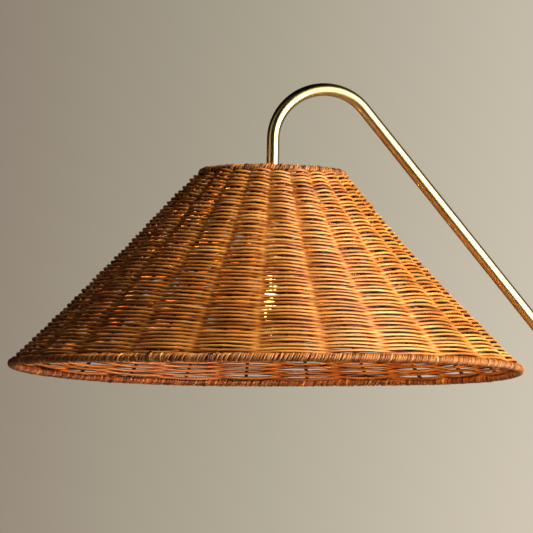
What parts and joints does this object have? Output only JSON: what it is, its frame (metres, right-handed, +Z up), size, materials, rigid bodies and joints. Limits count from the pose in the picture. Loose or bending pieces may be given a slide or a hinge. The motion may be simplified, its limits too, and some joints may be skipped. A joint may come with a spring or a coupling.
{
  "type": "rattan floor lamp",
  "caption": "Floor lamp with a hooked brass tube arm on a round weighted base, carrying a bulb socket under a wide flared shade of woven rattan.",
  "frame": {"origin": "on the floor, at the middle of the felt pad under the pole", "axes": "+Z up along the pole; the arm and the shade reach towards -X; the switch knob points to -Y, the front"},
  "size_m": [0.7531, 0.512, 1.5399],
  "materials": {
    "felt_pad": "dense matt felt",
    "cast_weight": "rough cast, dark",
    "satin_brass": "satin, lightly aged, lacquered",
    "turned_brass": "turned and polished",
    "black_plastic": "moulded, matt black",
    "zinc_steel": "zinc plated",
    "fibre_liner": "pressed fibre board",
    "plated_shell": "thin drawn sheet, bright",
    "black_glass": "black glass insulator",
    "clear_glass": "clear, thin",
    "stem_glass": "pressed clear glass",
    "glowing_filament": "lit, warm",
    "rattan_weave": "round reed, honey brown, lacquered",
    "rattan_border": "reed wrapped round the hoop, honey brown",
    "rattan_stake": "stouter round reed, brown"
  },
  "bodies": {
    "stand": {"floor_pad": "felt_pad", "base_weight": "cast_weight", "base_cover": "satin_brass", "pole_lower_tube": "satin_brass", "pole_upper_tube": "satin_brass", "arm_tube": "satin_brass", "socket_cap": "satin_brass", "socket_shell": "satin_brass", "pole_collar": "turned_brass", "seat_ring": "turned_brass", "centre_contact": "turned_brass", "bulb_contact": "turned_brass", "cord_gland": "black_plastic", "socket_body": "black_plastic", "base_nipple": "zinc_steel", "base_washer": "zinc_steel", "base_nut": "zinc_steel", "pole_nipple": "zinc_steel", "arm_nipple": "zinc_steel", "head_nipple": "zinc_steel", "head_washer": "zinc_steel", "head_nut": "zinc_steel", "shade_fitter": "zinc_steel", "socket_liner": "fibre_liner", "screw_shell": "plated_shell", "bulb_cap": "plated_shell", "bulb_insulator": "black_glass", "bulb_glass": "clear_glass", "bulb_stem": "stem_glass", "bulb_filament": "glowing_filament", "woven_wall": "rattan_weave", "top_border": "rattan_border", "rim_border": "rattan_border", "stake_01": "rattan_stake", "stake_02": "rattan_stake", "stake_03": "rattan_stake", "stake_04": "rattan_stake", "stake_05": "rattan_stake", "stake_06": "rattan_stake", "stake_07": "rattan_stake", "stake_08": "rattan_stake", "stake_09": "rattan_stake", "stake_10": "rattan_stake", "stake_11": "rattan_stake", "stake_12": "rattan_stake", "stake_13": "rattan_stake", "stake_14": "rattan_stake", "stake_15": "rattan_stake", "stake_16": "rattan_stake", "stake_17": "rattan_stake", "stake_18": "rattan_stake", "stake_19": "rattan_stake", "stake_20": "rattan_stake", "stake_21": "rattan_stake", "stake_22": "rattan_stake", "stake_23": "rattan_stake", "stake_24": "rattan_stake"},
    "switch": {"switch_stem": "zinc_steel", "switch_knob": "black_plastic"}
  },
  "joints": [
    {"name": "switch_turn", "type": "hinge", "parent": "stand", "child": "switch", "pos_m": [-0.35, -0.02, 1.39565], "axis": [0, -1, 0], "continuous": true}
  ]
}
